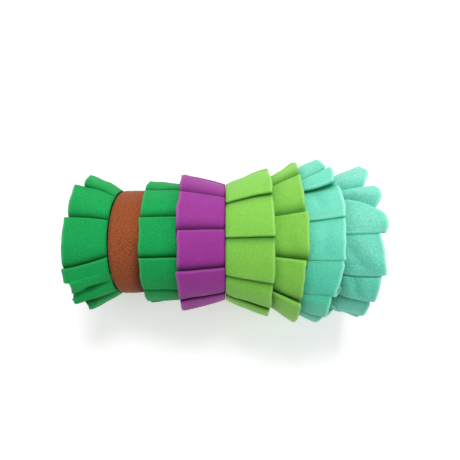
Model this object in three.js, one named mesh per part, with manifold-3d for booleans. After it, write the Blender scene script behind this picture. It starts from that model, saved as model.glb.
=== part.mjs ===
// A ruffled snuffle mat rolled up with its ruffles outward. Millimetres, +Z up, roll axis along X.
// The mat is one rectangle of hemmed cloth with seven knife-pleated fleece strips sewn across it.
// The strips run round the roll. Those left of the middle fold to -X, the others to +X.
import * as THREE from "three";
import Module from "manifold-3d";

// --- driving sizes ---
const ROLL_RADIUS = 55.5; // outer face of the wound base cloth
const AXIS_HEIGHT = 68.5; // roll axis over the floor: the squashed strips hold the cloth up
const CLOTH = 3; // the hemmed base cloth
const FLEECE = 1.8; // one layer of strip
const LAYER = 2.1; // from one pressed layer of strip to the next
const GAP = 0.4; // between touching pieces
const SAG = 0.35; // how far the straight stretches of a seam fall inside its curve
const TUCK = 10; // how far a knife pleat goes under, at the seam
const TUCK_FREE = 5.5; // and at the free edge
const DIVE = 0.34; // share of a panel that slopes down to go under its neighbour
const CLEAR = 1.7; // a diving panel is down this far before the fold over it
const GROOVE_DEPTH = 10; // how deep the ends show the turns of the wound cloth
const STATION = 6; // degrees between sections of the wound cloth

// The two hemmed ends of the roll: each is a plane, leaning out by `lean` at the top of the roll.
const LEFT_HEM = { side: -1, at: 109.5, lean: 6.5 };
const RIGHT_HEM = { side: 1, at: 104, lean: 2 };

// Rows of a table become objects with named columns.
function table(columns, rows) {
  return rows.map((row) => Object.fromEntries(columns.map((name, i) => [name, row[i]])));
}

// The wound cloth: radius of its outer face by turn angle, from the outer end inward.
const WINDING = table(["turn", "radius"], [
  [-20, 55.5],
  [0, 55.5],
  [250, 55.5],
  [300, 53.6],
  [360, 48.5],
  [450, 41],
  [540, 35],
  [630, 30],
  [720, 25],
  [810, 19.5],
  [900, 14.5],
  [960, 11.5],
]);

// Pleats of a strip, going round from the outer end: phi is 0 on top of the roll, 90 at +Y, 180 below.
// root, free: where the panel starts, at the seam and at the free edge.
// over: 1 its own edge lies on the panel before, -1 it starts under the panel before, 0 a cut end.
// reach0, reach1: how far along X its free edge lies, at its start and end. tip0, tip1: its radius there.
// swell, bow: how far the middle of its free edge stands out from the roll, and reaches out along X.
const PLEAT = ["root", "free", "over", "reach0", "reach1", "tip0", "tip1", "swell", "bow"];

const GREEN_END = table(PLEAT, [
  [174, 174, 0, 146, 146, 71, 71, 0, 0],
  [152, 152, 1, 146, 145, 71, 72, 1, 0],
  [122, 123, 1, 144, 143, 71, 72, 1, 0],
  [92, 93, 1, 141, 146, 71, 72, 1, 0],
  [59, 57, 1, 151.5, 150.5, 71, 71.5, 0.5, 0],
  [24, 21, 1, 154.6, 156.2, 70, 71, 0.5, 0],
  [-16, -22, 1, 156.8, 153, 70, 70, 0, 0],
  [-52, -49, 1, 153, 153, 70, 71, 0, 0],
  [-68, -62, -1, 146, 141, 72, 71, 0, 0],
  [-98, -95, -1, 143, 145, 71, 71, 1, 0],
  [-130, -128, -1, 146, 148, 71, 70, 1, 0],
]);

const GREEN_SECOND = table(PLEAT, [
  [172, 172, 0, 82, 82, 66, 66, 0, 0],
  [158, 158, 1, 82, 82, 66, 66, 0, 0],
  [126, 126, 1, 81, 82, 66, 66, 0, 0],
  [92, 92, 1, 82, 83, 65, 63, 0, 0],
  [60, 60, 1, 83, 84.6, 62, 61, 0, 0],
  [25, 24, 1, 85.2, 85.4, 61, 61, 0, 0],
  [-14, -15, 1, 85.6, 84.4, 61, 61, 0, 0],
  [-50, -50, -1, 84, 83, 61, 63, 0, 0],
  [-84, -84, -1, 82, 81, 65, 66, 0, 0],
  [-118, -118, -1, 81, 82, 66, 66, 0, 0],
  [-150, -150, -1, 82, 82, 66, 66, 0, 0],
]);

const PURPLE = table(PLEAT, [
  [172, 172, 0, 44, 44, 72, 72, 0, 0],
  [152, 151, -1, 44, 43, 72, 72, 1, 0],
  [118, 118, -1, 43, 44, 72, 72, 1, 0],
  [84, 86, -1, 44, 45, 72, 71, 1, 0],
  [47, 47, 1, 45, 46, 70.5, 70, 0, 0],
  [12, 10, 1, 45, 46, 70, 70, 0, 0],
  [-24, -24, 1, 46, 45, 70, 70.5, 0, 0],
  [-60, -60, 1, 45, 43, 71, 72, 1, 0],
  [-96, -96, -1, 43, 43, 72, 72, 1, 0],
  [-130, -130, -1, 44, 44, 72, 72, 1, 0],
]);

const LIME_SECOND = table(PLEAT, [
  [172, 172, 0, 46, 46, 77, 77, 0, 0],
  [146, 146, 1, 46, 45, 77, 78, 1, 0],
  [112, 111, 1, 45, 45, 78, 78, 1, 0],
  [77, 76, 1, 45, 46, 78, 77, 1, 0],
  [42, 42, -1, 46, 48, 76.5, 76, 0.5, 0],
  [6, 6, -1, 48, 47, 76, 76, 0, 0],
  [-30, -30, -1, 46, 46, 76, 77, 1, 0],
  [-64, -64, 1, 45, 45, 78, 78, 1, 0],
  [-100, -100, -1, 45, 45, 78, 77, 1, 0],
  [-136, -136, -1, 45, 46, 77, 77, 1, 0],
]);

const LIME_FIRST = table(PLEAT, [
  [172, 172, 0, 75, 75, 80, 82, 0, 0],
  [150, 150, -1, 75, 74, 83, 84, 1, 0],
  [120, 119, -1, 73, 73, 84, 85, 1, 0],
  [88, 88, -1, 73, 74, 85, 84.5, 1, 0],
  [56, 56, 1, 75, 76.5, 83, 81.5, 0, 0],
  [23, 22, 1, 79.6, 79.4, 81, 81, 0, 0],
  [-12, -12, 1, 76.5, 75, 81, 83.5, 0, 0],
  [-46, -46, 1, 74, 73, 85, 85, 1, 0],
  [-80, -80, -1, 73, 73, 85, 85, 1, 0],
  [-112, -112, -1, 73, 74, 84, 82, 1, 0],
  [-144, -144, -1, 75, 75, 82, 80, 1, 0],
]);

const MINT_FIRST = table(PLEAT, [
  [172, 172, 0, 102, 102, 78, 80, 0, 0],
  [146, 146, 1, 100, 98, 82, 85, 1, 0],
  [122, 120, 1, 97, 97, 86, 87.5, 1, 0],
  [96, 95, 1, 96, 102, 88, 87, 0, 0],
  [55, 62, 1, 105, 107, 86, 85, 1.5, 1],
  [46, 46, -1, 110.6, 114.5, 82, 80, 0, 0.6],
  [18.5, 19.7, -1, 114.2, 113.9, 80, 80, 0, 0],
  [-12.8, -11, -1, 113, 105.4, 82, 84, 0, 1],
  [-41.5, -39, -1, 103, 99, 87, 88, 0, 0],
  [-62, -63, -1, 95, 92, 87, 86.5, 0, 0],
  [-92, -90, -1, 94, 97, 86, 86, 1, 0],
  [-124, -124, -1, 98, 100, 85, 82, 1, 0],
  [-150, -150, -1, 101, 102, 80, 78, 1, 0],
]);

const MINT_END = table(PLEAT, [
  [174, 174, 0, 144, 144, 78, 79, 0, 0],
  [152, 152, 1, 144, 144, 79, 80, 1, 1],
  [120, 118, 1, 144, 146, 80, 81, 1, 1],
  [88, 84, 1, 148, 140, 80.5, 80, 1.5, 3],
  [52, 47, 1, 148.5, 145, 80.5, 79.5, 1.5, 4],
  [42, 23, 1, 149.5, 152.5, 79, 79.5, 1.2, 3],
  [8, 8, -1, 148, 152.8, 80, 80.5, 0.5, 0],
  [-26, -22, -1, 149.5, 147, 80, 80.5, 0, 0.5],
  [-50, -46, -1, 143.6, 142, 80, 79.5, 0.5, 1],
  [-84, -82, -1, 143, 144, 80.5, 81, 1, 1],
  [-116, -116, -1, 144, 145, 81, 80, 1, 1],
  [-142, -142, -1, 146, 146, 79, 76, 0, 0],
]);

// Each strip. hem: sewn under that hem, else laid on the outer face with its seam at `seam` along X.
// loft: layer spacing at the free edge. rise: exponent of the flare. stations: shares of its width.
// covered: a neighbour's free edge lies over its seam.
const STRIPS = [
  { name: "ruffle_green_end", color: 0x21a75c, side: -1, hem: LEFT_HEM, pleats: GREEN_END,
    inner: { reach: 148, flare: 11, twist: 1 }, loft: 3, rise: 1.1, stations: [0, 0.33, 0.67, 1] },
  { name: "ruffle_green_2", color: 0x21a75c, side: -1, seam: 41, pleats: GREEN_SECOND,
    loft: 2.1, rise: 1, stations: [0, 0.5, 1], covered: true },
  { name: "ruffle_purple", color: 0x98309a, side: -1, seam: 1, pleats: PURPLE,
    loft: 2.4, rise: 0.8, stations: [0, 0.25, 0.6, 1] },
  { name: "ruffle_lime_2", color: 0x86cb4d, side: 1, seam: 2.5, pleats: LIME_SECOND,
    loft: 2.5, rise: 0.8, stations: [0, 0.25, 0.6, 1] },
  { name: "ruffle_lime_1", color: 0x86cb4d, side: 1, seam: 36, pleats: LIME_FIRST,
    loft: 2.8, rise: 1, stations: [0, 0.33, 0.67, 1], covered: true },
  { name: "ruffle_mint_a", color: 0x72dcbc, side: 1, seam: 64, pleats: MINT_FIRST,
    loft: 5, rise: 0.5, stations: [0, 0.1, 0.35, 1], covered: true },
  { name: "ruffle_mint_b", color: 0x72dcbc, side: 1, hem: RIGHT_HEM, pleats: MINT_END,
    inner: { reach: 144, flare: 11, twist: -1 }, loft: 4.5, rise: 0.42, stations: [0, 0.12, 0.42, 1] },
];
// Inner turns of the two end strips: where each panel starts and how many share that turn.
const INNER_TURNS = table(["from", "to", "panels"], [
  [-192, -520, 8],
  [-520, -772, 4],
]);
const TURN_IN = -160; // the end strips' last outer panel, which passes in under their own start

// --- geometry ---
const rad = (degrees) => (degrees * Math.PI) / 180;
const mix = (a, b, t) => a + (b - a) * t;

function windingRadius(turn) {
  const after = WINDING.findIndex((row) => row.turn >= turn);
  if (after <= 0) return WINDING[after < 0 ? WINDING.length - 1 : 0].radius;
  const a = WINDING[after - 1];
  const b = WINDING[after];
  return mix(a.radius, b.radius, (turn - a.turn) / (b.turn - a.turn));
}

// A point at radius r and angle phi round the roll axis.
function around(phi, r) {
  return { y: r * Math.sin(rad(phi)), z: r * Math.cos(rad(phi)) };
}

// Where a hem plane stands along X at a height over the axis.
function hemX(hem, z, away) {
  return hem.side * (hem.at + away + (hem.lean * z) / ROLL_RADIUS);
}

// A closed body from a grid of points: rings[i][j], each ring closed, with both ends capped by strips.
function loft(rings, capStrip) {
  const count = rings[0].length;
  const positions = rings.flat().flatMap((p) => [p.x, p.y, p.z]);
  const index = [];
  for (let i = 0; i + 1 < rings.length; i += 1) {
    for (let j = 0; j < count; j += 1) {
      const k = (j + 1) % count;
      const a = i * count;
      const b = a + count;
      index.push(a + j, a + k, b + k, a + j, b + k, b + j);
    }
  }
  const last = (rings.length - 1) * count;
  capStrip(count).forEach(([p, q, r]) => {
    index.push(p, r, q);
    index.push(last + p, last + q, last + r);
  });
  return { positions, index };
}

function toGeometry({ positions, index }) {
  const geometry = new THREE.BufferGeometry();
  geometry.setAttribute("position", new THREE.BufferAttribute(new Float32Array(positions), 3));
  geometry.setIndex(index);
  geometry.computeVertexNormals();
  return geometry;
}

// --- the wound base cloth ---
const turns = (from, to) => {
  const count = Math.round((to - from) / STATION);
  return Array.from({ length: count + 1 }, (_, i) => mix(from, to, i / count));
};

// The roll between its two hem planes: its outline is the outer turn, stepped where the end lies.
function woundBody() {
  const outline = turns(0, 360).map((turn) => around(180 - turn, windingRadius(turn)));
  const ring = (hem) => outline.map(({ y, z }) => ({ x: hemX(hem, z, 0), y, z }));
  // Each end is a fan from a point across from the step, which sees the whole outline.
  const from = 20;
  const fan = (count) =>
    Array.from({ length: count - 2 }, (_, i) => [from, (from + i + 1) % count, (from + i + 2) % count]);
  return loft([ring(LEFT_HEM), ring(RIGHT_HEM)], fan);
}

// The gap between one turn of the cloth and the next, open at a hem.
function groove(hem) {
  const rings = turns(-6, 600).map((turn) => {
    const outer = around(180 - turn, windingRadius(turn) - CLOTH);
    const inner = around(180 - turn, windingRadius(turn + 360) + (turn < 0 ? 1 : 0.2));
    const at = (p, away) => ({ x: hemX(hem, p.z, away), y: p.y, z: p.z });
    const ring = [at(inner, 3), at(outer, 3), at(outer, -GROOVE_DEPTH), at(inner, -GROOVE_DEPTH)];
    return hem.side > 0 ? ring : ring.reverse();
  });
  return loft(rings, () => [[0, 1, 2], [0, 2, 3]]);
}

// --- the strips ---
// Panels of the inner turns of an end strip, uneven by a slow wave.
function innerPleats(inner) {
  return INNER_TURNS.flatMap(({ from, to, panels }) =>
    Array.from({ length: panels }, (_, i) => {
      const start = mix(from, to, i / panels) + 3 * Math.sin(2.3 * i + inner.twist);
      const next = mix(from, to, (i + 1) / panels);
      const tip = (phi) => windingRadius(180 - phi) + inner.flare + 1.2 * Math.sin(3.1 * i);
      const reach = inner.reach + 2 * Math.sin(1.9 * i + from);
      return { root: start, free: start, over: inner.twist, reach0: reach, reach1: reach + 1,
        tip0: tip(start), tip1: tip(next), swell: 1, bow: 1 };
    }),
  );
}

function panelsOf(strip) {
  if (!strip.inner) return { panels: strip.pleats, end: -173 };
  const last = strip.pleats[strip.pleats.length - 1];
  const passing = { root: TURN_IN, free: TURN_IN, over: -1, reach0: last.reach1, reach1: last.reach1,
    tip0: 66, tip1: windingRadius(372) + strip.inner.flare - 0.5, swell: 0, bow: 0 };
  return { panels: [...strip.pleats, passing, ...innerPleats(strip.inner)], end: -774 };
}

// The zigzag of one section of a strip, at share v of its width: angle, layer and place in its panel.
function section(strip, v) {
  const { panels, end } = panelsOf(strip);
  const start = panels.map((panel) => mix(panel.root, panel.free, v));
  start.push(end);
  const degrees = (mm, phi) => (mm / (windingRadius(180 - phi) + 6 + 18 * v)) * (180 / Math.PI);
  const path = [];
  panels.forEach((panel, k) => {
    const length = start[k] - start[k + 1];
    const put = (share, layer, shift = 0) =>
      path.push({ phi: start[k] - share * length + shift, layer, share, panel });
    const over = k + 1 < panels.length ? panels[k + 1].over : 0;
    const room = 0.4 * length;
    const tuck = (at) => Math.min(degrees(mix(TUCK, TUCK_FREE, v), at), room);
    if (panel.over === -1) {
      put(0, 2, -degrees(CLEAR, start[k]));
      put(DIVE, 0);
    } else {
      put(0, 0);
      put(0.32, 0);
    }
    if (over === 1) {
      const next = panels[k + 1];
      const under = Math.min(tuck(start[k + 1]), 0.4 * (start[k + 1] - start[k + 2]));
      const turned = (layer, shift, owner, share) =>
        path.push({ phi: start[k + 1] + shift, layer, share, panel: owner });
      put(1 - DIVE, 0);
      put(1, 2, degrees(CLEAR, start[k + 1]));
      turned(2, -under, panel, 1);
      turned(1, -under, next, 0);
      turned(1, 0, next, 0);
    } else if (over === -1) {
      const next = panels[k + 1];
      const under = tuck(start[k + 1]);
      const turned = (layer, shift, owner, share) =>
        path.push({ phi: start[k + 1] + shift, layer, share, panel: owner });
      put(0.68, 0);
      put(1, 0);
      put(1, 1);
      turned(1, under, panel, 1);
      turned(2, under, next, 0);
    } else {
      put(0.68, 0);
      put(1, 0);
    }
  });
  return path;
}

// The middle of the cloth at each point of a section, as flat coordinates across the roll.
function sectionPoints(strip, v) {
  return section(strip, v).map(({ phi, layer, share, panel }) => {
    const wound = windingRadius(180 - phi);
    const seamTop = strip.hem ? wound - GAP - FLEECE / 2 : wound + GAP + SAG + FLEECE / 2 + 2 * LAYER;
    const bulge = 4 * share * (1 - share) * panel.swell * v;
    const flare = (mix(panel.tip0, panel.tip1, share) - seamTop) * v ** strip.rise;
    const free = seamTop + flare + bulge - layer * mix(LAYER, strip.loft, v);
    // The floor presses every layer flat; a seam under a neighbour is pressed by that one too.
    const pressed = strip.covered ? 6.8 * Math.min(1, Math.max(0, (0.5 - v) / 0.15)) : 0;
    const down = -Math.cos(rad(phi));
    const most = AXIS_HEIGHT - pressed - FLEECE / 2 - layer * LAYER;
    const r = down > 0.2 ? Math.min(free, most / down) : free;
    const { y, z } = around(phi, r);
    const reach = mix(panel.reach0, panel.reach1, share) + 4 * share * (1 - share) * panel.bow;
    const seam = strip.hem ? Math.abs(hemX(strip.hem, z, GAP + 0.1)) : strip.seam;
    return { x: strip.side * mix(seam, reach, v), y, z };
  });
}

// Each point moved square to the cloth by half its thickness, mitred at the folds.
function offset(points, distance) {
  const normal = (a, b) => {
    const dy = b.y - a.y;
    const dz = b.z - a.z;
    const length = Math.hypot(dy, dz);
    return { y: -dz / length, z: dy / length };
  };
  return points.map((p, i) => {
    const before = normal(points[Math.max(i - 1, 0)], points[Math.max(i, 1)]);
    const last = points.length - 1;
    const after = normal(points[Math.min(i, last - 1)], points[Math.min(i + 1, last)]);
    const scale = distance / (1 + before.y * after.y + before.z * after.z);
    return { x: p.x, y: p.y + (before.y + after.y) * scale, z: p.z + (before.z + after.z) * scale };
  });
}

function stripSolid(strip) {
  const sections = strip.stations.map((v) => sectionPoints(strip, v));
  // Both faces stop at the floor, where the whole roll rests on it.
  const face = (distance) => (points) =>
    offset(points, distance).map(({ x, y, z }) => ({ x, y, z: Math.max(z, -AXIS_HEIGHT) }));
  const outer = sections.map(face(FLEECE / 2));
  const inner = sections.map(face(-FLEECE / 2));
  // One ring per point along the strip: out along the outer face, back along the inner face.
  const rings = sections[0].map((_, i) => [
    ...outer.map((points) => points[i]),
    ...inner.map((points) => points[i]).reverse(),
  ]);
  const n = strip.stations.length;
  const ladder = () =>
    Array.from({ length: n - 1 }, (_, j) => [
      [j, j + 1, 2 * n - 2 - j],
      [j, 2 * n - 2 - j, 2 * n - 1 - j],
    ]).flat();
  return loft(strip.side > 0 ? rings : rings.map((ring) => ring.slice().reverse()), ladder);
}

// --- assembly ---
const wasm = await Module();
wasm.setup();
const { Manifold, Mesh } = wasm;

function lifted({ positions, index }) {
  return { positions: positions.map((value, i) => (i % 3 === 2 ? value + AXIS_HEIGHT : value)), index };
}

function solidOf({ positions, index }) {
  const made = new Manifold(
    new Mesh({ numProp: 3, vertProperties: new Float32Array(positions), triVerts: new Uint32Array(index) }),
  );
  if (made.volume() > 0) return made;
  const turned = index.map((_, i) => index[i - (i % 3) + [0, 2, 1][i % 3]]);
  return new Manifold(
    new Mesh({ numProp: 3, vertProperties: new Float32Array(positions), triVerts: new Uint32Array(turned) }),
  );
}

function meshOf(name, solid, color) {
  const { vertProperties, numProp, numVert, triVerts } = solid.getMesh();
  const positions = [];
  for (let i = 0; i < numVert; i += 1) {
    positions.push(...vertProperties.slice(i * numProp, i * numProp + 3));
  }
  const material = new THREE.MeshStandardMaterial({ color, roughness: 1, metalness: 0 });
  const mesh = new THREE.Mesh(toGeometry({ positions, index: Array.from(triVerts) }), material);
  mesh.name = name;
  return mesh;
}

const group = new THREE.Group();
const base = solidOf(lifted(woundBody()))
  .subtract(solidOf(lifted(groove(LEFT_HEM))))
  .subtract(solidOf(lifted(groove(RIGHT_HEM))));
group.add(meshOf("base_roll", base, 0x965332));
STRIPS.forEach((strip) => {
  group.add(meshOf(strip.name, solidOf(lifted(stripSolid(strip))), strip.color));
});

// The origin is the middle of the overall box, on the floor.
const box = new THREE.Box3().setFromObject(group);
const centre = box.getCenter(new THREE.Vector3());
group.children.forEach((mesh) => mesh.geometry.translate(-centre.x, -centre.y, -box.min.z));

export default group;
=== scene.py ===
# A ruffled snuffle mat, rolled with its ruffles outward. The frame gives its solids and place.
# Lengths are millimetres and angles degrees, unless a comment says otherwise. Places are given
# round the roll axis: x along it, r from it, and phi, which is 0 on top, 90 at +Y and 180 below.
# The turn angle is 180 - phi, from the mat's outer end inward. v is the share of a ruffle's width,
# 0 at its seam and 1 at its free edge.
import math
from typing import NamedTuple

import bpy
import numpy as np
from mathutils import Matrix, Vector


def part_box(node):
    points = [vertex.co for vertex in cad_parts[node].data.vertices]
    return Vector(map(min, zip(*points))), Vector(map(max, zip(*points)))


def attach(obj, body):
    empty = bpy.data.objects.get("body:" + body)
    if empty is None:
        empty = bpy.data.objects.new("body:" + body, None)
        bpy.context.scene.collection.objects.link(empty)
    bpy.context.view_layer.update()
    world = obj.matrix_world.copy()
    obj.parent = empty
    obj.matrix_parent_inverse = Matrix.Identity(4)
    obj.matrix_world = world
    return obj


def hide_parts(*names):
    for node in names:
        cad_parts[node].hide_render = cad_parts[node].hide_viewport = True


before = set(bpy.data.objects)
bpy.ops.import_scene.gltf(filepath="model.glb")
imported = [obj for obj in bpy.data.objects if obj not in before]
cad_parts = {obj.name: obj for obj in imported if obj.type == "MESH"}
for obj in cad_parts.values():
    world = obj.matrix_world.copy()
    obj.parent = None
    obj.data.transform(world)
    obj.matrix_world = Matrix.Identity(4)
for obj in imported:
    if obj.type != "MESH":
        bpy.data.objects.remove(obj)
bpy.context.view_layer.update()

METRE = 1000  # in millimetres


class Hem(NamedTuple):
    """An end of the roll: how far out it is at the height of the axis, and how much more on top."""

    at: float
    lean: float


# --- sizes shared with the solids ---
ROLL_RADIUS = 55.5
AXIS_HEIGHT = 68.5
CLOTH = 3.0  # thickness of the base mat
FLEECE = 1.8  # thickness of a ruffle
LAYER = 2.1  # from one layer of a pleat to the next, at the seam
GAP = 0.4  # between a ruffle and the cloth under it
SAG = 0.35  # how far the straight stretches of a seam fall inside its curve, in the solids
TUCK = 10.0  # how far the hidden layer of a fold runs back, at the seam
TUCK_FREE = 5.5  # and at the free edge
CLEAR = 0.3  # from a fold's line to where the panel under it starts or ends
LEFT_HEM = Hem(109.5, 6.5)
RIGHT_HEM = Hem(104.0, 2.0)

# The roll axis in the frame's coordinates, from the box of the wound cloth.
_low, _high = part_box("base_roll")
ORIGIN_X = _low[0] * METRE + LEFT_HEM.at + LEFT_HEM.lean
ORIGIN_Y = _high[1] * METRE - ROLL_RADIUS

# Radius of the wound cloth's outer face by turn angle. It is even up to the first.
WINDING = np.array([
    (250, 55.5), (300, 53.6), (360, 48.5), (450, 41), (540, 35), (630, 30), (720, 25),
    (810, 19.5), (900, 14.5), (960, 11.5),
])


class Panel(NamedTuple):
    """One panel of a pleated ruffle, in order of falling phi."""

    root: float  # phi where it starts at the seam
    free: float  # phi where it starts at the free edge
    over: int  # 1: its edge lies on the panel before, -1: it starts under it, 0: neither
    reach: float  # x of its free edge, at its start and at its end
    reach_end: float
    tip: float  # radius of its free edge, at its start and at its end
    tip_end: float
    swell: float  # how far the middle of its free edge stands out from the roll
    bow: float  # and how far it reaches out along it


# The panels of each ruffle's outer turn, with the fields of Panel.
GREEN_END = [
    (174, 174, 0, 146, 146, 71, 71, 0, 0),
    (152, 152, 1, 146, 145, 71, 72, 1, 0),
    (122, 123, 1, 142, 142, 71, 72, 1, 0),
    (92, 93, 1, 142.5, 142.5, 71.5, 71.5, 0, 0),
    (59, 57, 1, 151.5, 150.5, 71, 71.5, 0.5, 0),
    (24, 21, 1, 154.6, 156.2, 70, 71, 0.5, 0),
    (-16, -22, 1, 157.2, 157.4, 70, 70.5, 0, 0),
    (-32, -33.5, 0, 152.5, 151, 70.5, 70, 0, -1.2),
    (-52, -51, 0, 151, 154, 70, 71, 0, 0),
    (-68, -62, -1, 142, 140, 72, 71, 0, 0),
    (-98, -95, -1, 143, 145, 71, 71, 1, 0),
    (-130, -128, -1, 146, 148, 71, 70, 1, 0),
]
GREEN_SECOND = [
    (172, 172, 0, 80.2, 80.2, 66, 66, 0, 0),
    (158, 158, 1, 80.2, 80.2, 66, 66, 0, 0),
    (126, 126, 1, 79.2, 80.2, 66, 66, 0, 0),
    (92, 92, 1, 80.2, 81.2, 65, 63, 0, 0),
    (60, 60, 1, 81.2, 82.8, 62, 61, 0, 0),
    (25, 24, 1, 83.4, 83.6, 61, 61, 0, 0),
    (-14, -15, 1, 83.8, 82.6, 61, 61, 0, 0),
    (-50, -50, -1, 82.2, 81.2, 61, 63, 0, 0),
    (-84, -84, -1, 80.2, 79.2, 65, 66, 0, 0),
    (-118, -118, -1, 79.2, 80.2, 66, 66, 0, 0),
    (-150, -150, -1, 80.2, 80.2, 66, 66, 0, 0),
]
PURPLE = [
    (172, 172, 0, 44, 44, 72, 72, 0, 0),
    (152, 151, -1, 44, 43, 72, 72, 1, 0),
    (118, 118, -1, 43, 44, 72, 72, 1, 0),
    (84, 86, -1, 44, 45, 72, 71, 1, 0),
    (47, 47, 1, 45, 46, 70.5, 70, 0, 0),
    (12, 10, 1, 45, 46, 70, 70, 0, 0),
    (-24, -24, 1, 46, 45, 70, 70.5, 0, 0),
    (-60, -60, 1, 45, 43, 71, 72, 1, 0),
    (-96, -96, -1, 43, 43, 72, 72, 1, 0),
    (-130, -130, -1, 44, 44, 72, 72, 1, 0),
]
LIME_SECOND = [
    (172, 172, 0, 46, 46, 77, 77, 0, 0),
    (146, 146, 1, 46, 45, 77, 78, 1, 0),
    (112, 111, 1, 45, 45, 78, 78, 1, 0),
    (77, 76, 1, 45, 46, 78, 77, 1, 0),
    (42, 42, -1, 46, 48, 76.5, 76, 0.5, 0),
    (6, 6, -1, 48, 47, 76, 76, 0, 0),
    (-30, -30, -1, 46, 46, 76, 77, 1, 0),
    (-64, -64, 1, 45, 45, 78, 78, 1, 0),
    (-100, -100, -1, 45, 45, 78, 77, 1, 0),
    (-136, -136, -1, 45, 46, 77, 77, 1, 0),
]
LIME_FIRST = [
    (172, 172, 0, 75, 75, 80, 82, 0, 0),
    (150, 150, -1, 75, 74, 83, 84, 1, 0),
    (120, 119, -1, 73, 73, 84, 85, 1, 0),
    (88, 88, -1, 73, 74, 85, 84.5, 1, 0),
    (56, 56, 1, 75, 76.5, 83, 81.5, 0, 0),
    (23, 22, 1, 79.6, 79.4, 81, 81, 0, 0),
    (-12, -12, 1, 76.5, 75, 81, 83.5, 0, 0),
    (-46, -46, 1, 74, 73, 85, 85, 1, 0),
    (-80, -80, -1, 73, 73, 85, 85, 1, 0),
    (-112, -112, -1, 73, 74, 84, 82, 1, 0),
    (-144, -144, -1, 75, 75, 82, 80, 1, 0),
]
MINT_FIRST = [
    (172, 172, 0, 102, 102, 78, 80, 0, 0),
    (146, 146, 1, 100, 98, 82, 85, 1, 0),
    (122, 120, 1, 97, 97, 86, 87.5, 1, 0),
    (96, 95, 1, 96, 102, 88, 87, 0.8, 0),
    (55, 62, 1, 105, 107, 86, 85, 3.5, 1),
    (48.5, 47.3, -1, 110.6, 114.5, 82, 80, 1, 0.6),
    (18.5, 19.7, -1, 114.2, 113.9, 80, 80, 0, 0),
    (-12.8, -11, -1, 113, 105.4, 82, 84, 0, 1),
    (-41.5, -39, -1, 103, 100, 87, 86, 0, 0),
    (-62, -63, -1, 99, 95.5, 85.5, 85.5, 0, 0),
    (-92, -90, -1, 94, 97, 86, 86, 1, 0),
    (-124, -124, -1, 98, 100, 85, 82, 1, 0),
    (-150, -150, -1, 101, 102, 80, 78, 1, 0),
]
MINT_END = [
    (174, 174, 0, 144, 144, 78, 79, 0, 0),
    (152, 152, 1, 144, 144, 79, 80, 1, 1),
    (120, 118, 1, 144, 146, 80, 81, 1, 1),
    (88, 82, 1, 136, 134, 78, 79.5, 3.0, 11),
    (52, 44.5, 1, 145, 139.5, 80.5, 79.5, 5, 8.5),
    (42, 23, 1, 149.5, 152.5, 79, 79.5, 3.5, 3),
    (8, 8, -1, 147, 153.4, 80, 80.5, 1.5, 0),
    (-26, -22, -1, 149.5, 147, 80, 80.5, 0, 0.5),
    (-50, -46, -1, 143.6, 142, 79, 78, 2, 1),
    (-84, -82, -1, 143, 144, 80.5, 81, 1, 1),
    (-116, -116, -1, 144, 145, 81, 80, 1, 1),
    (-142, -142, -1, 146, 146, 79, 76, 0, 0),
]

OUTER_TURN_END = -173.0  # phi where the outer turn of a ruffle ends
# The panel that leads an end ruffle on inward: phi and radius of its free edge at its start.
TURN_IN, TURN_IN_TIP = -160, 66
# The inner turns, an end ruffle's and those of the rows next to it: from, to, number of panels.
INNER_TURNS = [(-192, -520, 8), (-520, -772, 4)]
INNER_TURNS_END = -774.0
FILLED_TURNS = [(-244, -520, 8), (-520, -752, 6)]
UNDER_LINING = 1.5  # from a filled turn's free edge to the lining outside it

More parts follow.
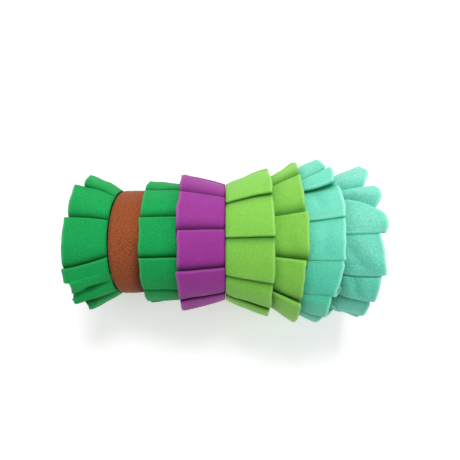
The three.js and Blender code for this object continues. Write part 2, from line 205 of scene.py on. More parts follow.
# The ruffles. side: 1 for a free edge towards +X, -1 towards -X, and x counts that way. hem: sewn
# along that hem, or seam: the x of its seam. pleats: the panels of its outer turn. inner: of its
# inner turns, the x of the free edge, how far it stands out and over. inside: x of the free edge
# and over, for a piece that is inner turns alone. loft: from layer to layer at the free edge.
# rise: 1 if it leaves the roll evenly, and less the sooner it does. soft: how far a fold's
# rounding runs into the panel, at the seam and at the free edge. dive: the length in which a panel
# goes down under the next one's fold, at the same two places. covered: a neighbour's free edge
# lies over its seam. name: of its piece, if not the node's. look: what differs from its slot's.
STRIPS = [
    dict(node="ruffle_green_end", slot="fleece_green", side=-1, hem=LEFT_HEM, pleats=GREEN_END,
         inner=(148, 11, 1), loft=3.0, rise=0.95, soft=(2.5, 3.0), dive=(8, 9.5), seed=11),
    dict(node="ruffle_green_2", slot="fleece_green", side=-1, seam=41, pleats=GREEN_SECOND,
         loft=2.1, rise=1.0, soft=(2.5, 3.0), dive=(8, 8), covered=True, seed=12),
    dict(node="ruffle_purple", slot="fleece_purple", side=-1, seam=0.1, pleats=PURPLE,
         loft=2.6, rise=0.8, soft=(2.5, 3.5), dive=(8, 10), seed=13),
    dict(node="ruffle_lime_2", slot="fleece_lime", side=1, seam=1.4, pleats=LIME_SECOND,
         loft=2.6, rise=0.8, soft=(2.5, 3.5), dive=(8, 10), seed=14),
    dict(node="ruffle_lime_1", slot="fleece_lime", side=1, seam=36, pleats=LIME_FIRST,
         loft=2.8, rise=1.0, soft=(2.5, 4.0), dive=(8, 10), covered=True, seed=15),
    dict(node="ruffle_mint_a", slot="fleece_mint", side=1, seam=64, pleats=MINT_FIRST,
         loft=2.5, rise=0.5, soft=(3.0, 4.0), dive=(4.5, 4.5), covered=True, seed=16),
    dict(node="ruffle_mint_b", slot="fleece_mint", side=1, hem=RIGHT_HEM, pleats=MINT_END,
         inner=(144, 11, -1), loft=3.6, rise=0.42, soft=(3.0, 6.0), dive=(8, 6), seed=17,
         look=dict(colour=(86, 211, 182), pilling=2.8, grain=520.0, painted_top_light=(138, 228, 204))),
    # The inner turns of the rows next to the ends, which show between the wound turns.
    dict(node="ruffle_green_2", slot="fleece_green", side=-1, seam=52, inside=(86, 1),
         loft=2.1, rise=1.0, soft=(2.5, 3.0), dive=(8, 8), seed=22, name="ruffle_green_2_inner"),
    dict(node="ruffle_mint_a", slot="fleece_mint", side=1, seam=60, inside=(94, -1),
         loft=2.1, rise=1.0, soft=(2.5, 3.0), dive=(6, 6), seed=26, name="ruffle_mint_a_inner"),
]

# Main creases: node, from (phi, v) to (phi, v), height out from the roll, and half width.
CREASES = [
    ("ruffle_mint_a", (38, 0.52), (28, 0.60), -1.9, 3.2),
    ("ruffle_mint_a", (35, 0.75), (27, 0.72), 0.9, 5.0),
    ("ruffle_mint_a", (14, 0.72), (-7, 0.66), -1.3, 5.0),
    ("ruffle_mint_a", (14, 0.47), (-7, 0.45), 0.9, 5.0),
    ("ruffle_mint_a", (-14, 0.55), (-34, 0.62), -0.9, 7.0),
    ("ruffle_mint_a", (76, 0.75), (68, 0.95), -0.9, 5.0),
    ("ruffle_mint_b", (-8, 0.33), (-3.5, 0.41), -2.8, 3.0),
    ("ruffle_mint_b", (-7, 0.36), (-17, 0.55), -1.9, 4.0),
    ("ruffle_mint_b", (2, 0.5), (-13, 0.8), 1.9, 6.5),
    ("ruffle_mint_b", (-31, 0.46), (-42, 0.6), -3.0, 4.4),
    ("ruffle_mint_b", (-29, 0.34), (-40, 0.36), 1.4, 4.5),
    ("ruffle_mint_b", (-27, 0.78), (-42, 0.84), 0.6, 5.0),
    ("ruffle_mint_b", (62, 0.2), (57, 0.8), 1.6, 6.0),
    ("ruffle_mint_b", (40, 0.3), (36, 0.85), 1.4, 6.0),
    ("ruffle_mint_b", (18, 0.3), (16, 0.9), 0.8, 7.0),
    ("ruffle_mint_b", (-54, 0.3), (-60, 0.9), -1.0, 6.0),
    ("ruffle_mint_b", (-64, 0.2), (-82, 0.3), 8.0, 9.0),
    ("ruffle_green_end", (6, 0.0), (2, 1.0), -0.7, 8.0),
    ("ruffle_green_end", (42, 0.1), (40, 0.9), -0.6, 8.0),
    ("ruffle_green_end", (-46.5, 0.1), (-47.5, 0.6), -10.0, 4.4),
    ("ruffle_green_end", (-48, 0.6), (-50, 1.0), -5.0, 3.8),
    ("ruffle_green_end", (-57, 0.2), (-58, 0.9), 2.2, 4.0),
    ("ruffle_green_end", (-36, 0.3), (-38, 0.8), 1.6, 9.0),
    ("ruffle_green_end", (88, 0.35), (66, 0.35), 3.0, 11.0),
    ("ruffle_green_end", (-22, 0.5), (-25, 1.0), -0.8, 5.0),
]

# Single folds, by the root of the panel after them. tuck, far, deeper: a fold that stands open,
# with how far its hidden layer is tucked, how far it reaches past the outer one, and its extra
# depth. dive: the length in which the cloth goes down under it. bend: how far its middle is off
# straight, degrees.
FOLDS = {
    ("ruffle_mint_a", 55): dict(bend=-2.0),
    ("ruffle_mint_a", 48.5): dict(bend=-3.5, dive=8),
    ("ruffle_mint_a", 18.5): dict(bend=-0.8),
    ("ruffle_mint_a", -12.8): dict(tuck=5, far=1.0, deeper=0.3),
    ("ruffle_mint_a", -41.5): dict(tuck=11, far=7.5, deeper=4.5),
    ("ruffle_mint_a", -62): dict(tuck=14, far=12.0, deeper=6.5),
    ("ruffle_mint_b", 52): dict(bend=-1.5, dive=11),
    ("ruffle_mint_b", 42): dict(bend=1.5, dive=14),
    ("ruffle_mint_b", 8): dict(dive=4),
    ("ruffle_mint_b", -26): dict(bend=-1.0, dive=5),
    ("ruffle_mint_b", -50): dict(dive=9),
    ("ruffle_green_end", -16): dict(bend=-1.4),
    ("ruffle_green_end", 24): dict(bend=0.6, dive=7),
    ("ruffle_green_end", 59): dict(bend=1.0, dive=3.5),
}

# How a section's zigzag is drawn.
ANGLES_AT = 6  # a length becomes an angle this far over the wound cloth at the seam
ANGLES_AT_FREE = 18  # and this much further at the free edge
MOST_HOLD = 0.24  # longest share of a panel that is the rounding of its fold
MOST_DIVE = 0.42  # and that is its way down under the next fold
MOST_TUCK = 0.4  # longest hidden layer, as a share of the panel beside it
DIVE = ((0.35, 1.1), (1.0, 0.12))  # share of the way down, counted from the fold, and layer there

OPENS_FROM, OPENS_OVER = 0.45, 0.5  # the v from which a fold opens, and how much of v that takes
PRESSED = 6.8  # room for the neighbour between a covered seam and the floor
PRESSED_TO, PRESSED_OVER = 0.5, 0.15  # the v at which that room ends, and how much of v that takes
FACES_FLOOR = 0.2  # least downward share of a direction that the floor can limit
HEM_CLEAR = 0.6  # added to the gap between a hem and the seam along it

# Wrinkles and creases are laid out on a flat strip of this width, wound at these radii.
FLAT_WIDTH = 46
WRINKLE_RADIUS = 60
CREASE_RADIUS = 75
WRINKLE_HEIGHT = 0.75
EDGE_HEIGHT = 0.7  # of the unevenness of a free edge
EDGE_SEED = 40  # added to a strip's seed for it
OUTER_LAYER = 0.6  # creases are only where the layer is less than this
DENT_SHADE = 0.06  # what a dent's depth adds to its shade


def mix(a, b, t):
    """a at t = 0 and b at t = 1."""
    return a + (b - a) * t


def wound(turn):
    """Radius of the wound cloth's outer face at a turn angle."""
    return np.interp(turn, WINDING[:, 0], WINDING[:, 1])


def seeded_waves(seed, count, low, high):
    """Directions, phases and lengths of a smooth wrinkle field; low, high: wavelengths."""
    rng = np.random.default_rng(seed)
    angle = rng.uniform(0, math.pi, count)
    length = np.exp(rng.uniform(math.log(low), math.log(high), count))
    phase = rng.uniform(0, 1, count)
    return np.stack([np.cos(angle) / length, np.sin(angle) / length, phase, length])


def wrinkle(waves, a, b):
    """Height of the wrinkle field at (a, b), within about -1 to 1."""
    longest = waves[3].max()
    total = np.zeros_like(a)
    for ka, kb, phase, length in waves.T:
        total += np.sin(2 * math.pi * (a * ka + b * kb + phase)) * (length / longest) ** 0.6
    return total / math.sqrt(waves.shape[1])


# --- the strips ---
def filled_panels(strip):
    """Panels of a piece that is inner turns alone, up to the lining of the turn outside them."""
    reach_in, over = strip["inside"]
    below = CLOTH + FLEECE / 2 + UNDER_LINING
    panels = []
    for start, stop, count in FILLED_TURNS:
        for i in range(count):
            at, after = mix(start, stop, i / count), mix(start, stop, (i + 1) / count)
            reach = reach_in + 2.5 * math.sin(2.1 * i + start)
            tips = [wound(-180 - phi) - below for phi in (at, after)]
            panels.append(Panel(at, at + 2 * math.sin(3 * i), over if panels else 0,
                                reach, reach + 1, *tips, 0, 1))
    return panels


def panels_of(strip):
    """A piece's panels from the outer end inward, and the phi where the last one ends."""
    if "inside" in strip:
        return filled_panels(strip), FILLED_TURNS[-1][1]
    panels = [Panel(*row) for row in strip["pleats"]]
    if "inner" not in strip:
        return panels, OUTER_TURN_END
    reach_in, flare, over = strip["inner"]
    last = panels[-1].reach_end
    first_inner_tip = wound(180 - INNER_TURNS[0][0]) + flare - 0.5
    panels.append(
        Panel(TURN_IN, TURN_IN, -1, last, last, TURN_IN_TIP, first_inner_tip, 0, 0))
    for start, stop, count in INNER_TURNS:
        for i in range(count):
            at = mix(start, stop, i / count) + 3 * math.sin(2.3 * i + over)
            after = mix(start, stop, (i + 1) / count)
            reach = reach_in + 2 * math.sin(1.9 * i + start)
            wave = 1.2 * math.sin(3.1 * i)
            tips = [wound(180 - phi) + flare + wave for phi in (at, after)]
            panels.append(Panel(at, at, over, reach, reach + 1, *tips, 1, 1))
    return panels, INNER_TURNS_END


class Place(NamedTuple):
    """One point of a section's zigzag."""

    phi: float
    layer: float  # 0 for the outer layer, 1 for the one turned back, 2 for the one under it
    share: float  # of its panel, from the start
    panel: int
    crest: float  # 1 at the outer corner of a fold
    far: float  # how far an open fold reaches out here
    deeper: float  # and how much deeper it lies


def zigzag(strip, v):
    """One section of a piece along its panels, at share v of the width."""
    panels, end = panels_of(strip)
    arch = 4 * v * (1 - v)
    folds = [FOLDS.get((strip["node"], panel.root), {}) for panel in panels] + [{}]
    start = [mix(panel.root, panel.free, v) + arch * fold.get("bend", 0)
             for panel, fold in zip(panels, folds)]
    start.append(end)

    def degrees(length, phi):
        return math.degrees(length / (wound(180 - phi) + ANGLES_AT + ANGLES_AT_FREE * v))

    soft = mix(*strip["soft"], v)
    path = []
    for k, panel in enumerate(panels):
        begin, after = start[k], start[k + 1]
        length = begin - after
        over = panels[k + 1].over if k + 1 < len(panels) else 0
        fold = folds[k + 1]
        far, deeper = fold.get("far", 0), fold.get("deeper", 0)
        hold = min(degrees(soft, begin) / length, MOST_HOLD)
        under_fold = folds[k] if panel.over == -1 else fold
        dive = under_fold.get("dive", mix(*strip["dive"], v))
        dive = min(degrees(dive, begin) / length, MOST_DIVE)
        tuck = mix(TUCK, fold.get("tuck", TUCK_FREE), v)
        tuck = min(degrees(tuck, after), MOST_TUCK * length)

        def put(share, layer, shift=0.0, crest=0, opened=0.0):
            """Adds a point on the panel itself."""
            path.append(Place(begin - share * length + shift, layer, share, k, crest,
                              opened * far, opened * deeper))

        def turned(layer, shift, owner, share, opened=0.0):
            """Adds a point of the fold at the panel's end, owned by this panel or the next."""
            path.append(Place(after + shift, layer, share, owner, 0,
                              opened * far, min(1, layer) * deeper))

        if panel.over == -1:
            put(0, 2, -degrees(CLEAR, begin))
            for part, layer in DIVE:
                put(dive * part, layer)
        else:
            put(0, 0, crest=panel.over)
            put(hold, 0)
            put(0.3, 0)
        put(0.5, 0)
        if over == 1:
            under = min(tuck, MOST_TUCK * (after - start[k + 2]))
            for part, layer in reversed(DIVE):
                put(1 - dive * part, layer)
            put(1, 2, degrees(CLEAR, after))
            turned(2, -0.5 * under, k, 1)
            turned(2, -under, k, 1)
            turned(1, -under, k + 1, 0, opened=1)
            turned(1, -0.4 * under, k + 1, 0, opened=1)
            turned(1, 0, k + 1, 0, opened=0.4)
        elif over == -1:
            put(0.7, 0)
            put(1 - hold, 0)
            put(1, 0, crest=1, opened=0.3)
            turned(1, 0, k, 1, opened=0.75)
            turned(1, 0.4 * tuck, k, 1, opened=1)
            turned(1, tuck, k, 1, opened=0.7)
            turned(2, tuck, k + 1, 0)
            turned(2, 0.5 * tuck, k + 1, 0)
        else:
            put(0.66, 0)
            put(0.85, 0)
            put(1, 0)
    return path


def rounded(points, rounds=2):
    """Chaikin's corner cutting along axis 1, ends kept."""
    for _ in range(rounds):
        a, b = points[:, :-1], points[:, 1:]
        cut = np.stack([0.75 * a + 0.25 * b, 0.25 * a + 0.75 * b], axis=2)
        cut = cut.reshape(points.shape[0], -1, points.shape[2])
        points = np.concatenate([points[:, :1], cut, points[:, -1:]], axis=1)
    return points


def strip_points(strip, shares):
    """Middle of the cloth as a grid [v][place along the strip] of x, r, phi, layer and crest."""
    panels = np.array(panels_of(strip)[0], float)
    grid = []
    for v in shares:
        phi, layer, share, owner, crest, far, deeper = np.array(zigzag(strip, v)).T
        _, _, _, reach, reach_end, tip, tip_end, swell, bow = panels[owner.astype(int)].T
        face = wound(180 - phi)
        if "hem" in strip:
            top = face - GAP - FLEECE / 2
        else:
            top = face + GAP + SAG + FLEECE / 2 + 2 * LAYER
        arch = 4 * share * (1 - share)
        r = top + (mix(tip, tip_end, share) - top) * v ** strip["rise"] + arch * swell * v
        opened = np.clip((v - OPENS_FROM) / OPENS_OVER, 0, 1)
        r -= layer * mix(LAYER, strip["loft"], v) + deeper * opened
        pressed = 0
        if strip.get("covered"):
            pressed = PRESSED * min(1, max(0, (PRESSED_TO - v) / PRESSED_OVER))
        down = -np.cos(np.radians(phi))
        room = AXIS_HEIGHT - pressed - FLEECE / 2 - layer * LAYER
        most = room / np.maximum(down, FACES_FLOOR)
        r = np.where(down > FACES_FLOOR, np.minimum(r, most), r)
        if "hem" in strip:
            at, lean = strip["hem"]
            seam = at + GAP + HEM_CLEAR + lean * r * np.cos(np.radians(phi)) / ROLL_RADIUS
        else:
            seam = np.full_like(phi, strip["seam"])
        free_edge = mix(reach, reach_end, share) + arch * bow + far * opened
        grid.append(np.stack([mix(seam, free_edge, v), r, phi, layer, crest], axis=1))
    return rounded(np.array(grid))


def wrinkled(strip, grid, shares):
    """The grid with soft wrinkles, the listed creases and an uneven free edge, all clear of the
    floor, and how deep each place lies in a crease."""
    x, r, phi, layer, _ = np.moveaxis(grid, 2, 0)
    v = shares[:, None] * np.ones_like(x)
    around = np.radians(phi) * WRINKLE_RADIUS
    across = FLAT_WIDTH * v
    on_floor = np.clip((-np.cos(np.radians(phi)) - 0.55) / 0.3, 0, 1)
    free = (1 - on_floor) * np.clip(0.15 + v, 0, 1)
    waves = seeded_waves(strip["seed"], 9, 14, 60)
    r = r + wrinkle(waves, around, across) * WRINKLE_HEIGHT * free
    dents = np.zeros_like(r)
    for node, (phi0, v0), (phi1, v1), height, width in CREASES:
        if node != strip["node"]:
            continue
        a = np.array([math.radians(phi0) * CREASE_RADIUS, FLAT_WIDTH * v0])
        b = np.array([math.radians(phi1) * CREASE_RADIUS, FLAT_WIDTH * v1])
        p = np.stack([np.radians(phi) * CREASE_RADIUS, across], axis=-1)
        t = np.clip(((p - a) @ (b - a)) / ((b - a) @ (b - a)), 0, 1)
        away = np.linalg.norm(p - a - t[..., None] * (b - a), axis=-1)
        form = np.exp(-((away / width) ** 2)) * free * (layer < OUTER_LAYER)
        r = r + height * form
        dents = dents + max(0, -height) * form
    waves = seeded_waves(strip["seed"] + EDGE_SEED, 7, 9, 40)
    edge = wrinkle(waves, around + 9 * layer, np.zeros_like(across))
    x = x + EDGE_HEIGHT * edge * np.clip((v - 0.6) / 0.4, 0, 1)
    return x, r, phi, dents


def to_frame(side, x, r, phi):
    """Places round the roll axis as points of the frame, in metres."""
    a = np.radians(phi)
    return np.stack([
        side * x + ORIGIN_X, r * np.sin(a) + ORIGIN_Y, r * np.cos(a) + AXIS_HEIGHT,
    ], axis=-1) / METRE


# --- meshes, in metres ---
FLOOR_CLEAR = 0.00002  # lowest place of a mesh
EDGE_BULGE = 0.45  # how far a half-round edge stands out, in thicknesses
CUT_BULGE = 0.02  # and a flat one


def unit(vectors):
    return vectors / np.maximum(np.linalg.norm(vectors, axis=-1, keepdims=True), 1e-12)


def grid_normals(p):
    """Normals of a surface given as a grid of points."""
    return unit(np.cross(np.gradient(p, axis=1), np.gradient(p, axis=0)))


def path_length(points):
    """How far along a row of points each one lies."""
    steps = np.linalg.norm(np.diff(points, axis=0), axis=1)
    return np.concatenate([[0], np.cumsum(steps)])


def sheet_mesh(name, mid, thick, rounded_rows, slots, shading, hem=0):
    """A closed sheet round the grid mid, with a half-round edge along its last row, and along its
    first too if rounded_rows is 2.

    Faces: the outer side takes slot 0, the inner side slot 1, the edges slot 2, and so do the first
    and last rows of the inner side, as many as hem says. shading: named grids of point values that
    the materials read, mostly for painted light and shade, such as how deep in a fold the cloth
    lies.
    """
    rows, cols = mid.shape[:2]
    normal = grid_normals(mid)
    outer = mid + normal * thick / 2
    inner = mid - normal * thick / 2
    first_bulge = EDGE_BULGE if rounded_rows == 2 else CUT_BULGE
    rim = mid[-1] + unit(mid[-1] - mid[-2]) * thick * EDGE_BULGE
    heel = mid[0] + unit(mid[0] - mid[1]) * thick * first_bulge
    verts = np.concatenate([outer.reshape(-1, 3), inner.reshape(-1, 3), rim, heel])
    verts[:, 2] = np.maximum(verts[:, 2], FLOOR_CLEAR)
    n = rows * cols
    index = np.arange(n).reshape(rows, cols)
    tip = 2 * n + np.arange(cols)
    root = tip + cols
    faces, slot = [], []

    def band(a, b, which):
        quads = np.stack([a[:-1], a[1:], b[1:], b[:-1]], axis=1)
        faces.extend(quads.tolist())
        slot.extend([which] * len(quads))

    for i in range(rows - 1):
        band(index[i], index[i + 1], 0)
        band(index[i + 1] + n, index[i] + n, 2 if min(i, rows - 2 - i) < hem else 1)
    band(index[-1], tip, 2)
    band(tip, index[-1] + n, 2)
    band(root, index[0], 2)
    band(index[0] + n, root, 2)
    for j, turn in ((0, False), (cols - 1, True)):
        a = np.concatenate([[root[j]], index[:, j], [tip[j]]])
        b = np.concatenate([[root[j]], index[:, j] + n, [tip[j]]])
        for k in range(len(a) - 1):
            ring = [int(q) for q in (a[k], a[k + 1], b[k + 1], b[k])]
            ring = [q for m, q in enumerate(ring) if q != ring[m - 1]]
            if turn:
                ring.reverse()
            faces.append(ring)
            slot.append(2)
    mesh = bpy.data.meshes.new(name)
    mesh.from_pydata(verts.tolist(), [], faces)
    for material in slots:
        mesh.materials.append(material)
    mesh.polygons.foreach_set("material_index", slot)
    mesh.polygons.foreach_set("use_smooth", [True] * len(faces))
    # UVs in metres: along the cloth, and across it.
    along = path_length(mid[rows // 2])
    wide = path_length(mid[:, cols // 2])
    face_uv = np.stack(np.broadcast_arrays(along[None, :], wide[:, None]), axis=-1).reshape(-1, 2)
    edge_uv = [np.stack([along, np.full(cols, w)], axis=1) for w in (wide[-1], wide[0])]
    coords = np.concatenate([face_uv, face_uv, *edge_uv])
    loops = np.empty(len(mesh.loops), dtype=np.int32)
    mesh.loops.foreach_get("vertex_index", loops)
    mesh.uv_layers.new(name="cloth").data.foreach_set("uv", coords[loops].ravel())
    for key, values in shading.items():
        side = values.reshape(-1)
        point = mesh.attributes.new(key, "FLOAT", "POINT")
        point.data.foreach_set("value", np.concatenate([side, side, values[-1], values[0]]))
    mesh.validate()
    mesh.update()
    made = bpy.data.objects.new(name, mesh)
    bpy.context.scene.collection.objects.link(made)
    return made


# --- materials ---
WHITE = (1, 1, 1, 1)
BLACK = (0, 0, 0, 1)


def linear(r, g, b):
    """A colour from 0-255 sRGB as linear RGBA."""
    def one(c):
        c /= 255
        return c / 12.92 if c <= 0.04045 else ((c + 0.055) / 1.055) ** 2.4
    return (one(r), one(g), one(b), 1.0)


def scaled(colour, k, white=0.0):
    """A colour k times as bright, with some white added."""
    return tuple(min(1.0, c * k + white) for c in colour[:3]) + (1.0,)


def grey(k):
    return (k, k, k, 1)


class Nodes:
    """Short names for building one material's nodes."""

    def __init__(self, name):
        self.material = bpy.data.materials.new(name)
        self.material.use_nodes = True
        self.tree = self.material.node_tree
        self.shader = self.tree.nodes["Principled BSDF"]

    def add(self, kind, **values):
        """A node of that kind. Each value goes to the input or the property of its name."""
        node = self.tree.nodes.new(kind)
        for key, value in values.items():
            if key in node.inputs:
                node.inputs[key].default_value = value
            else:
                setattr(node, key, value)
        return node

    def link(self, a, b):
        self.tree.links.new(a, b)

    def set(self, **values):
        """The shader's own sockets, with _ for each space of their names."""
        for key, value in values.items():
            self.shader.inputs[key.replace("_", " ")].default_value = value

    def attribute(self, key):
        return self.add("ShaderNodeAttribute", attribute_name=key).outputs["Fac"]

    def noise(self, source, scale, detail=3.0, roughness=0.6):
        node = self.add("ShaderNodeTexNoise", Scale=scale, Detail=detail, Roughness=roughness)
        self.link(source, node.inputs["Vector"])
        return node.outputs["Fac"]

    def ramp(self, source, low, high, at):
        node = self.add("ShaderNodeValToRGB")
        for element, position, colour in zip(node.color_ramp.elements, at, (low, high)):
            element.position = position
            element.color = colour
        self.link(source, node.inputs["Fac"])
        return node.outputs["Color"]

    def blend(self, fac, a, b, mode="MIX"):
        node = self.add("ShaderNodeMix", data_type="RGBA", blend_type=mode)
        if isinstance(fac, float):
            node.inputs[0].default_value = fac
        else:
            self.link(fac, node.inputs[0])
        for value, socket in ((a, node.inputs[6]), (b, node.inputs[7])):
            if isinstance(value, tuple):
                socket.default_value = value
            else:
                self.link(value, socket)
        return node.outputs[2]

    def bump(self, height, strength, distance, after=None):
        node = self.add("ShaderNodeBump", Strength=strength, Distance=distance)
        self.link(height, node.inputs["Height"])
        if after is not None:
            self.link(after, node.inputs["Normal"])
        return node.outputs["Normal"]


def fleece(name, colour, look):
    """Polar fleece: short matt nap, fine pilling, slow tone changes, a cut edge paler from its
    fuzz, and painted light: highlights on fold crests and the cut edge, shade deep in folds, a
    paler top.

    look: gloss and sheen of the pale nap, rim, the white of the painted highlights on fold crests
    and the cut edge, pilling, the contrast of the small pills, and if given grain, how fine they
    are, fold, how light the painted shade deep in a fold is, and painted_top_light, the colour
    painted on the nap that faces up as painted top light.
    """
    n = Nodes(name)
    place = n.add("ShaderNodeTexCoord").outputs["Object"]
    pilling = look["pilling"]
    slow = n.noise(place, 34.0, 2.0)
    pill = n.noise(place, look.get("grain", 700.0), 3.0, 0.75)
    nap = n.noise(place, 2600.0, 3.0, 0.7)
    tone = n.ramp(slow, scaled(colour, 0.94), scaled(colour, 1.06), (0.35, 0.65))
    # Painted top light: the nap that faces up is painted paler.
    if "painted_top_light" in look:
        tone = n.blend(n.attribute("upper"), tone, linear(*look["painted_top_light"]))
    spread = 0.16 * pilling
    light = scaled(colour, 1 + spread, 0.006 * pilling)
    pills = n.ramp(pill, scaled(colour, 1 - spread), light, (0.36, 0.64))
    hairs = n.ramp(nap, scaled(colour, 0.86), scaled(colour, 1.14, 0.01), (0.38, 0.62))
    tone = n.blend(0.36, n.blend(0.34, tone, hairs), pills)
    # Painted highlight along the crests of folds.
    painted_crest_highlight = n.ramp(n.attribute("crest"), BLACK, grey(0.55), (0.4, 0.95))
    tone = n.blend(painted_crest_highlight, tone, scaled(colour, 1.05, look["rim"]))
    # The cut edge is paler, partly from its lighter fuzz and partly as a painted highlight.
    cut = n.ramp(n.attribute("rim"), BLACK, grey(0.85), (0.2, 0.9))
    tone = n.blend(cut, tone, scaled(colour, 1.08, look["rim"] * 1.2))
    # Painted shade: darker and more saturated deep in folds and dents.
    dark = tuple(look.get("fold", 0.62) * c ** 0.36 for c in colour[:3]) + (1.0,)
    shade = n.ramp(n.attribute("deep"), WHITE, dark, (0.03, 0.55))
    n.link(n.blend(1.0, tone, shade, "MULTIPLY"), n.shader.inputs["Base Color"])
    n.set(Roughness=0.62, IOR=look["ior"], Specular_IOR_Level=look["gloss"],
          Sheen_Weight=look["sheen"], Sheen_Roughness=0.5, Sheen_Tint=WHITE)
    coarse = n.bump(pill, 0.45 * pilling, 0.0007)
    n.link(n.bump(nap, 0.6, 0.0004, coarse), n.shader.inputs["Normal"])
    return n.material


def brushed(name, colour):
    """Brushed base cloth: fine crossing nap with a mottled, suede-like tone, and painted shade
    where its deep attribute is high.
    """
    n = Nodes(name)
    cloth = n.add("ShaderNodeTexCoord").outputs["UV"]
    grains = []
    for lean in (38, -44):
        leaning = n.add("ShaderNodeMapping", Rotation=(0, 0, math.radians(lean)),
                        Scale=(1.0, 0.45, 1.0))
        n.link(cloth, leaning.inputs["Vector"])
        grains.append(n.noise(leaning.outputs["Vector"], 780.0, 3.0, 0.6))
    crossed = n.blend(0.5, *grains)
    slow = n.noise(cloth, 34.0, 3.0)
    grain = n.noise(cloth, 2400.0, 2.0, 0.6)
    tone = n.ramp(slow, scaled(colour, 0.9), scaled(colour, 1.1), (0.35, 0.65))
    streaks = n.ramp(crossed, scaled(colour, 0.5), scaled(colour, 1.55, 0.012), (0.38, 0.62))
    tone = n.blend(0.6, tone, streaks)
    # Painted shade: darker where the deep attribute is high.
    shade = n.ramp(n.attribute("deep"), WHITE, (0.4, 0.33, 0.3, 1), (0.0, 1.0))
    n.link(n.blend(1.0, tone, shade, "MULTIPLY"), n.shader.inputs["Base Color"])
    n.set(Roughness=0.85, Specular_IOR_Level=0.22,
          Sheen_Weight=0.1, Sheen_Roughness=0.4, Sheen_Tint=WHITE)
    coarse = n.bump(crossed, 0.5, 0.0006)
    n.link(n.bump(grain, 0.3, 0.0002, coarse), n.shader.inputs["Normal"])
    return n.material


COLOURS = {
    "fleece_green": linear(11, 159, 78),
    "fleece_purple": linear(148, 36, 142),
    "fleece_lime": linear(126, 200, 66),
    "fleece_mint": linear(66, 207, 171),
    "base_cloth": linear(141, 70, 32),
}
LOOKS = {
    "fleece_green": dict(ior=1.45, gloss=0.12, sheen=0.02, rim=0.04, pilling=2.6, fold=0.48),
    "fleece_purple": dict(ior=1.45, gloss=0.4, sheen=0.06, rim=0.06, pilling=1.8),
    "fleece_lime": dict(ior=1.45, gloss=0.5, sheen=0.08, rim=0.06, pilling=1.8),
    "fleece_mint": dict(ior=1.6, gloss=0.7, sheen=0.05, rim=0.24, pilling=2.2, fold=0.86,
                        painted_top_light=(126, 223, 197)),
}
LINING = linear(34, 30, 32)

# --- the ruffles ---
UP_FROM, UP_OVER = -30, 50  # the phi from which the nap facing up is painted paler as painted top light, and how far that takes

for strip in STRIPS:
    # Sections across the ruffle, closer at the seam where it rises at once, and at the cut edge.
    shares = np.linspace(0, 1, 17) ** (1.25 if strip["rise"] < 0.9 else 1.0)
    shares = np.append(shares[:-1], [0.975, 1.0])
    grid = strip_points(strip, shares)
    x, r, phi, dents = wrinkled(strip, grid, shares)
    mid = to_frame(strip["side"], x, r, phi)
    layer, crest = grid[..., 3], grid[..., 4]
    # Masks the fleece reads for painted light: upper for the painted paler top, deep for painted
    # shade in folds and dents, crest for painted highlights on fold crests, and rim for the cut
    # edge, paler from its fuzz and a painted highlight.
    shading = {
        "upper": np.clip((np.mod(phi + 180, 360) - 180 - UP_FROM) / UP_OVER, 0, 1),
        "deep": np.clip(layer / 2 + DENT_SHADE * dents, 0, 1),
        "crest": np.clip(crest, 0, 1),
        "rim": np.clip((shares[:, None] - 0.95) / 0.05, 0, 1) + np.zeros_like(phi),
    }
    # The outer side faces out of the roll whichever way the strip lies.
    if strip["side"] > 0:
        mid = mid[:, ::-1]
        shading = {key: values[:, ::-1] for key, values in shading.items()}
    look = {**LOOKS[strip["slot"]], **strip.get("look", {})}
    colour = linear(*look["colour"]) if "colour" in look else COLOURS[strip["slot"]]
    name = strip.get("name", strip["node"])
    cloth = fleece(name + "_fleece", colour, look)
    piece = sheet_mesh(name + "_cloth", mid, FLEECE / METRE, 1, [cloth] * 3, shading)
    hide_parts(strip["node"])
    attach(piece, "root")

# --- the base mat: one hemmed sheet wound inward from its outer end ---
HEM_INSET = 1.3  # from the end of a hem to where its half-round edge starts
HEM_DROP, HEM_RUN = 1.5, 1.9  # how far the turned hem rolls inward, and over what length
STITCH_AT, STITCH_DEPTH, STITCH_RUN = 7.5, 0.25, 1.6  # the faint dip where it is sewn down
# The soft hollow where the second ruffle's free edge presses on the -Y side of the outer turn, with
# painted shade of that edge on it: its x, depth and half width, the phi between which it is, and
# how far its start takes.
HOLLOW_AT, HOLLOW_DEPTH, HOLLOW_RUN = -84, 1.2, 7.5
HOLLOW_FROM, HOLLOW_TO, HOLLOW_OVER = 12, -100, 45

turn = np.linspace(1.5, 956, 240)
# Places across the mat: the two hems, the part by the second ruffle's free edge, and the rest.
hem_rows = np.array([0, 0.0035, 0.008, 0.014, 0.022, 0.034, 0.05])
fine_rows = np.linspace(0.075, 0.2, 12)
wide_rows = np.linspace(0.27, 0.91, 10)
across = np.concatenate([hem_rows, fine_rows, wide_rows, 1 - hem_rows[::-1]])
phi = 180 - turn
radius = wound(turn) - CLOTH / 2
height = radius * np.cos(np.radians(phi)) / ROLL_RADIUS
left = -(LEFT_HEM.at + LEFT_HEM.lean * height) + HEM_INSET
right = RIGHT_HEM.at + RIGHT_HEM.lean * height - HEM_INSET
x = left[None, :] + (right - left)[None, :] * across[:, None]
to_hem = np.minimum(across, 1 - across)[:, None] * (right - left)[None, :]
radii = (radius[None, :] - HEM_DROP * np.exp(-((to_hem / HEM_RUN) ** 2))
         - STITCH_DEPTH * np.exp(-(((to_hem - STITCH_AT) / STITCH_RUN) ** 2)))
pressed = np.exp(-(((x - HOLLOW_AT) / HOLLOW_RUN) ** 2))
pressed = pressed * np.clip((HOLLOW_FROM - phi) / HOLLOW_OVER, 0, 1) * (phi > HOLLOW_TO)
mid = to_frame(1, x, radii - HOLLOW_DEPTH * pressed, phi[None, :] + np.zeros_like(x))
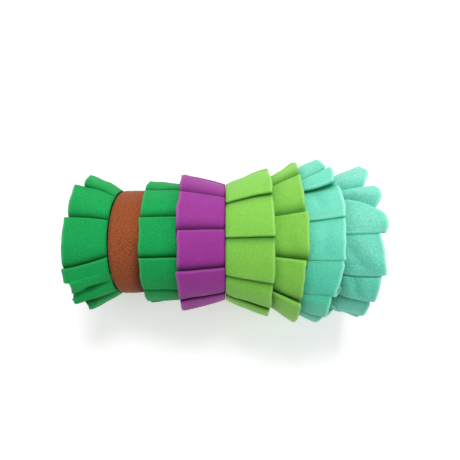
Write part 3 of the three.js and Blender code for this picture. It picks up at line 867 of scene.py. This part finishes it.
# The hollow's mask, passed as deep, paints shade on the cloth under the second ruffle's free edge.
brown = brushed("base_cloth_face", COLOURS["base_cloth"])
lining = brushed("base_cloth_lining", LINING)
mat = sheet_mesh("base_mat_cloth", mid, CLOTH / METRE, 2, [brown, lining, brown],
                 dict(deep=pressed), hem=5)
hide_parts("base_roll")
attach(mat, "root")

# --- camera: above the roll, as in a flat lay ---
SENSOR = 36.0
FOCAL_PIXELS, PHOTO_PIXELS = 553, 460  # the photo's focal length and its width
CAMERA_AT = (5.4, 13.0, 600.0)  # from where x is 0 on the roll axis

camera_data = bpy.data.cameras.new("camera")
camera_data.sensor_fit = "HORIZONTAL"
camera_data.sensor_width = SENSOR
camera_data.lens = SENSOR * FOCAL_PIXELS / PHOTO_PIXELS
camera_data.clip_start = 0.01
camera_data.clip_end = 20
camera = bpy.data.objects.new("camera", camera_data)
bpy.context.scene.collection.objects.link(camera)
axis_at = (ORIGIN_X, ORIGIN_Y, AXIS_HEIGHT)
camera.location = [(offset + at) / METRE for offset, at in zip(CAMERA_AT, axis_at)]
bpy.context.scene.camera = camera


# --- floor and light, in metres and watts ---
FLOOR_HALF = 4  # half the side of the floor
ROLL_MIDDLE = Vector((0, 0, 0.06))


def area_light(name, at, size, power):
    """A round soft light that faces the roll."""
    data = bpy.data.lights.new(name, "AREA")
    data.shape = "DISK"
    data.size = size
    data.energy = power
    lamp = bpy.data.objects.new(name, data)
    lamp.location = at
    lamp.rotation_euler = (ROLL_MIDDLE - Vector(at)).to_track_quat("-Z", "Y").to_euler()
    bpy.context.scene.collection.objects.link(lamp)


corners = [(-1, -1, 0), (1, -1, 0), (1, 1, 0), (-1, 1, 0)]
floor_mesh = bpy.data.meshes.new("floor")
floor_mesh.from_pydata([Vector(c) * FLOOR_HALF for c in corners], [], [(0, 1, 2, 3)])
floor = bpy.data.objects.new("floor", floor_mesh)
bpy.context.scene.collection.objects.link(floor)
paper = Nodes("floor_paper")
paper.set(Base_Color=grey(0.93), Roughness=0.9, Emission_Color=WHITE, Emission_Strength=0.3)
floor_mesh.materials.append(paper.material)

area_light("key", (0.1, 1.05, 1.45), 0.7, 20)
area_light("fill", (-1.2, -0.5, 1.3), 1.2, 2)
area_light("side", (1.3, -0.1, 1.2), 0.8, 5)
world = bpy.data.worlds.new("studio")
world.use_nodes = True
world.node_tree.nodes["Background"].inputs["Color"].default_value = WHITE
world.node_tree.nodes["Background"].inputs["Strength"].default_value = 0.46
bpy.context.scene.world = world
bpy.context.scene.view_settings.view_transform = "Standard"
